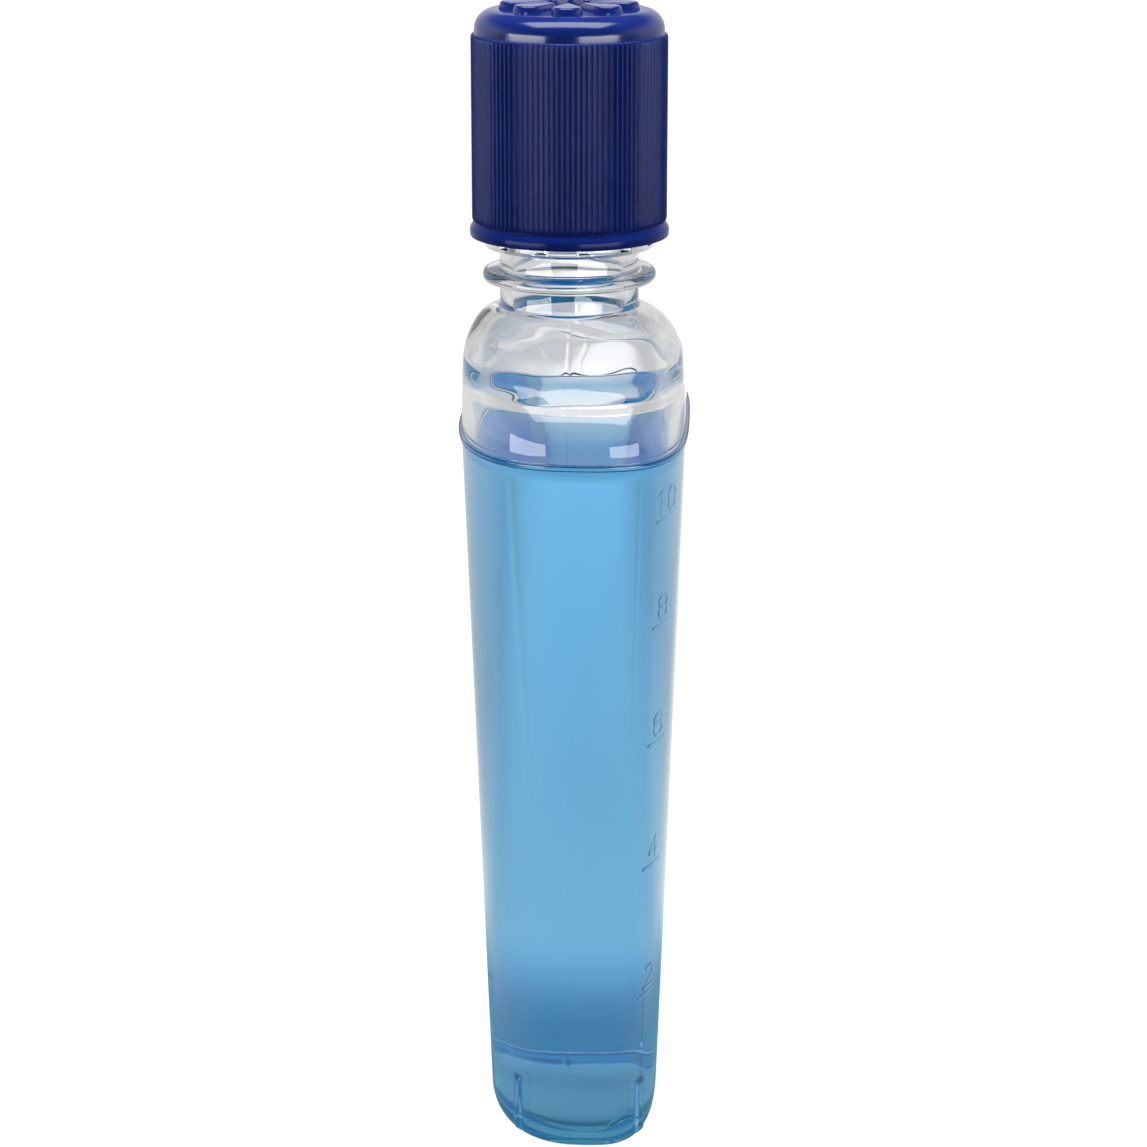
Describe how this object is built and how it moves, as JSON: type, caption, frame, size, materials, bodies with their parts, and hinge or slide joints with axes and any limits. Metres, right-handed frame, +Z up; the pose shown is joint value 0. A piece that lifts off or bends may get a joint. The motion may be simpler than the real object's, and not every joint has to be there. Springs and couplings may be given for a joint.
{
  "type": "pocket flask",
  "caption": "Clear hip-curved pocket flask in two welded shells, with a threaded neck, a clear fluted inner cap on a liner, and a ribbed outer cap that pulls off as a measuring cup.",
  "frame": {"origin": "under the neck's axis, on the surface the flask stands on, which is within 1.3 mm of the middle of its box", "axes": "+Z up along the neck's axis, Y along the flask's width, +X towards the hollow face that lies against the hip"},
  "size_m": [0.0493, 0.0916, 0.2445],
  "materials": {
    "clear_shell": "clear gloss plastic",
    "clear_cap": "clear gloss plastic",
    "liner_foam": "matt closed-cell foam",
    "cap_blue": "gloss moulded plastic"
  },
  "bodies": {
    "bottle": {"lower_shell": "clear_shell", "upper_shell": "clear_shell"},
    "liner": {"cap_liner": "liner_foam"},
    "inner_cap": {"inner_cap": "clear_cap"},
    "outer_cap": {"jigger_cap": "cap_blue"}
  },
  "joints": [
    {"name": "cap_lift", "type": "slide", "parent": "bottle", "child": "liner", "axis": [0, 0, 1], "range_m": [0, 0.0212]},
    {"name": "cap_turn", "type": "hinge", "parent": "liner", "child": "inner_cap", "pos_m": [0, 0, 0.2], "axis": [0, 0, 1], "range_deg": [0, 1800]},
    {"name": "jigger_pull", "type": "slide", "parent": "inner_cap", "child": "outer_cap", "axis": [0, 0, 1], "range_m": [0, 0.06]}
  ],
  "couplings": [
    {"joint": "cap_lift", "follows": "cap_turn", "m_per_rad": 0.0006737}
  ]
}
